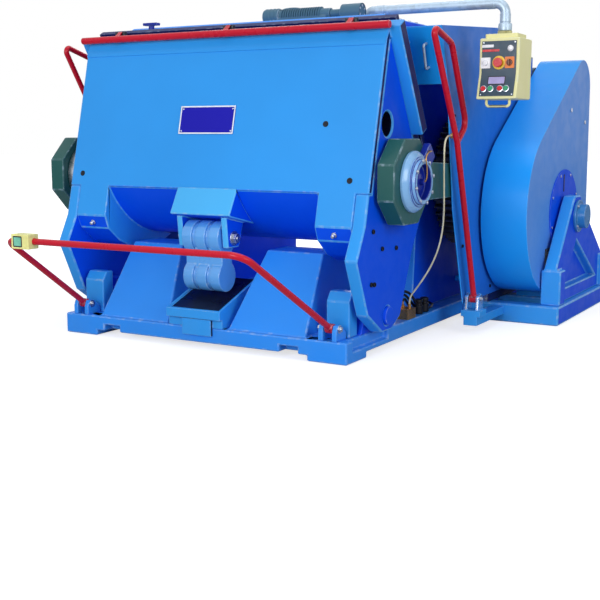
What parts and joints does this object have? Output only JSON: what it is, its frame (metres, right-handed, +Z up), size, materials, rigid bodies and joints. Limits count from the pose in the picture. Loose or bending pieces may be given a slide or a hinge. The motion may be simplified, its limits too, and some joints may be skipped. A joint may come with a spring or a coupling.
{
  "type": "die cutting machine",
  "caption": "Clamshell platen press that cuts and creases board: rocking platen, leaning bed with die chase, crank arms, guarded flywheel drive and hanging control box.",
  "frame": {"origin": "on the floor in the middle of the four anchor bolts of the base", "axes": "+X to the flywheel side along the platen (the operator's right), +Y from the operator to the back, +Z up"},
  "size_m": [2.403, 2.8664, 1.528],
  "materials": {
    "enamel_blue": "gloss machine enamel",
    "enamel_light": "gloss machine enamel",
    "guard_enamel": "satin sheet metal enamel",
    "cover_enamel": "satin sheet metal enamel",
    "arm_green": "gloss enamel over cast iron",
    "cap_navy": "gloss enamel",
    "safety_red": "gloss enamel",
    "bare_iron": "machined cast iron",
    "steel": "ground steel",
    "galvanised": "galvanised pipe",
    "bronze": "bearing bronze",
    "belt_rubber": "belt rubber",
    "pump_teal": "hammered grey enamel",
    "cream": "powder coat",
    "cream_plastic": "moulded",
    "panel_slate": "matt film panel",
    "black_clip": "moulded nylon",
    "button_red": "moulded",
    "button_green": "moulded",
    "knob_brown": "moulded",
    "plate_blue": "printed plate",
    "tube_cream": "nylon tube"
  },
  "bodies": {
    "frame": {"base_casting": "enamel_blue", "pivot_lugs": "bare_iron", "toe_stops": "enamel_light", "centre_tray": "enamel_light", "outrigger_base": "enamel_blue", "bearing_pedestal": "enamel_light", "outboard_bearing": "bare_iron", "bed_casting": "enamel_blue", "die_chase": "bare_iron", "shaft_bushes": "bronze", "gear_cover": "cover_enamel", "flywheel_guard": "cover_enamel", "access_cover": "enamel_blue", "guard_screws": "steel", "motor_body": "pump_teal", "motor_mount": "enamel_blue", "drive_belts": "belt_rubber", "oil_pump": "pump_teal", "oil_pump_motor": "pump_teal", "pipe_post": "galvanised", "bar_brackets": "enamel_blue", "lever_brackets": "bare_iron", "oil_fittings": "bronze", "oil_hose": "tube_cream", "gear_guard_right": "guard_enamel", "gear_guard_left": "guard_enamel"},
    "platen": {"platen_casting": "enamel_light", "platen_sides": "enamel_blue", "platen_plate": "steel", "trunnion_pins": "steel", "centre_boss": "enamel_light", "name_plate": "plate_blue", "bar_clips": "black_clip"},
    "crank": {"crank_shaft": "steel", "crank_gears": "bare_iron"},
    "pinion_set": {"pinion_shaft": "steel", "pinions": "steel", "clutch_disc": "bare_iron"},
    "flywheel_set": {"flywheel": "bare_iron"},
    "motor_rotor": {"motor_pulley": "bare_iron"},
    "right_rod": {"right_arm": "arm_green", "right_cap": "cap_navy"},
    "left_rod": {"left_arm": "arm_green", "left_cap": "cap_navy"},
    "link": {"balance_link": "enamel_light"},
    "top_bar": {"top_safety_bar": "safety_red"},
    "trip_bar": {"front_bar": "safety_red", "bar_switch_box": "cream_plastic"},
    "right_pull": {"right_lever": "safety_red"},
    "left_pull": {"left_lever": "safety_red"},
    "control_arm": {"control_pipe": "galvanised"},
    "control_head": {"control_box": "cream", "control_panel": "panel_slate"},
    "estop_cap": {"estop": "button_red"},
    "selector": {"selector_knob": "knob_brown"},
    "stop_cap": {"stop_button": "button_red"},
    "start_cap": {"start_button": "button_green"},
    "hold_cap": {"hold_button": "button_red"},
    "run_cap": {"run_button": "button_green"},
    "lock": {"chase_lock_lever": "cap_navy"}
  },
  "joints": [
    {"name": "platen_swing", "type": "hinge", "parent": "frame", "child": "platen", "pos_m": [0, -0.68, 0.17], "axis": [1, 0, 0], "range_deg": [0, 42]},
    {"name": "crank_turn", "type": "hinge", "parent": "frame", "child": "crank", "pos_m": [0, 0.37, 0.72], "axis": [1, 0, 0], "range_deg": [0, 186]},
    {"name": "pinion_turn", "type": "hinge", "parent": "frame", "child": "pinion_set", "pos_m": [0, 0.71919, 0.52083], "axis": [1, 0, 0], "range_deg": [-771, 0]},
    {"name": "right_arm_swing", "type": "hinge", "parent": "platen", "child": "right_rod", "pos_m": [0.855, -0.65, 0.745], "axis": [1, 0, 0], "range_deg": [-36.6, 0]},
    {"name": "left_arm_swing", "type": "hinge", "parent": "platen", "child": "left_rod", "pos_m": [-0.925, -0.65, 0.745], "axis": [1, 0, 0], "range_deg": [-36.6, 0]},
    {"name": "link_swing", "type": "hinge", "parent": "platen", "child": "link", "pos_m": [0, -0.864, 0.487], "axis": [1, 0, 0], "range_deg": [-102.5, 0]},
    {"name": "flywheel_spin", "type": "hinge", "parent": "frame", "child": "flywheel_set", "pos_m": [1.025, 0.71919, 0.52083], "axis": [1, 0, 0], "continuous": true},
    {"name": "motor_spin", "type": "hinge", "parent": "frame", "child": "motor_rotor", "pos_m": [1.025, 1.03, 1.185], "axis": [1, 0, 0], "continuous": true},
    {"name": "top_bar_flap", "type": "hinge", "parent": "platen", "child": "top_bar", "pos_m": [0, -0.684, 1.416], "axis": [1, 0, 0], "range_deg": [-20, 0]},
    {"name": "front_bar_trip", "type": "hinge", "parent": "frame", "child": "trip_bar", "pos_m": [0, -0.95, 0.145], "axis": [1, 0, 0], "range_deg": [-5, 0]},
    {"name": "right_lever_pull", "type": "hinge", "parent": "frame", "child": "right_pull", "pos_m": [0.95, -0.023, 0.165], "axis": [1, 0, 0], "range_deg": [-8, 0]},
    {"name": "left_lever_pull", "type": "hinge", "parent": "frame", "child": "left_pull", "pos_m": [-1.07, -0.023, 0.165], "axis": [1, 0, 0], "range_deg": [-8, 0]},
    {"name": "control_arm_swing", "type": "hinge", "parent": "frame", "child": "control_arm", "pos_m": [0.475, -0.23, 1.49], "axis": [0, 0, 1], "range_deg": [-15, 12]},
    {"name": "control_box_turn", "type": "hinge", "parent": "control_arm", "child": "control_head", "pos_m": [1.135, -0.23, 1.37], "axis": [0, 0, 1], "range_deg": [-60, 60]},
    {"name": "estop_press", "type": "slide", "parent": "control_head", "child": "estop_cap", "axis": [0, 1, 0], "range_m": [0, 0.005], "stiffness_N_per_m": 600},
    {"name": "selector_turn", "type": "hinge", "parent": "control_head", "child": "selector", "pos_m": [1.183, -0.298, 1.247], "axis": [0, 1, 0], "range_deg": [-45, 45]},
    {"name": "stop_press", "type": "slide", "parent": "control_head", "child": "stop_cap", "axis": [0, 0.9622, -0.2725], "range_m": [0, 0.004], "stiffness_N_per_m": 400},
    {"name": "start_press", "type": "slide", "parent": "control_head", "child": "start_cap", "axis": [0, 0.9622, -0.2725], "range_m": [0, 0.004], "stiffness_N_per_m": 400},
    {"name": "hold_press", "type": "slide", "parent": "control_head", "child": "hold_cap", "axis": [0, 0.9622, -0.2725], "range_m": [0, 0.004], "stiffness_N_per_m": 400},
    {"name": "run_press", "type": "slide", "parent": "control_head", "child": "run_cap", "axis": [0, 0.9622, -0.2725], "range_m": [0, 0.004], "stiffness_N_per_m": 400},
    {"name": "lock_turn", "type": "hinge", "parent": "frame", "child": "lock", "pos_m": [-0.544, -0.5447, 1.45], "axis": [0, 0, 1], "range_deg": [0, 90]}
  ],
  "couplings": [
    {"joint": "crank_turn", "follows": "platen_swing", "ratio": 4.4165},
    {"joint": "pinion_turn", "follows": "platen_swing", "ratio": -18.346},
    {"joint": "right_arm_swing", "follows": "platen_swing", "ratio": -0.8676},
    {"joint": "left_arm_swing", "follows": "platen_swing", "ratio": -0.8676},
    {"joint": "link_swing", "follows": "platen_swing", "ratio": -2.4286},
    {"joint": "motor_spin", "follows": "flywheel_spin", "ratio": 3.8636},
    {"joint": "left_lever_pull", "follows": "right_lever_pull", "ratio": 1}
  ]
}
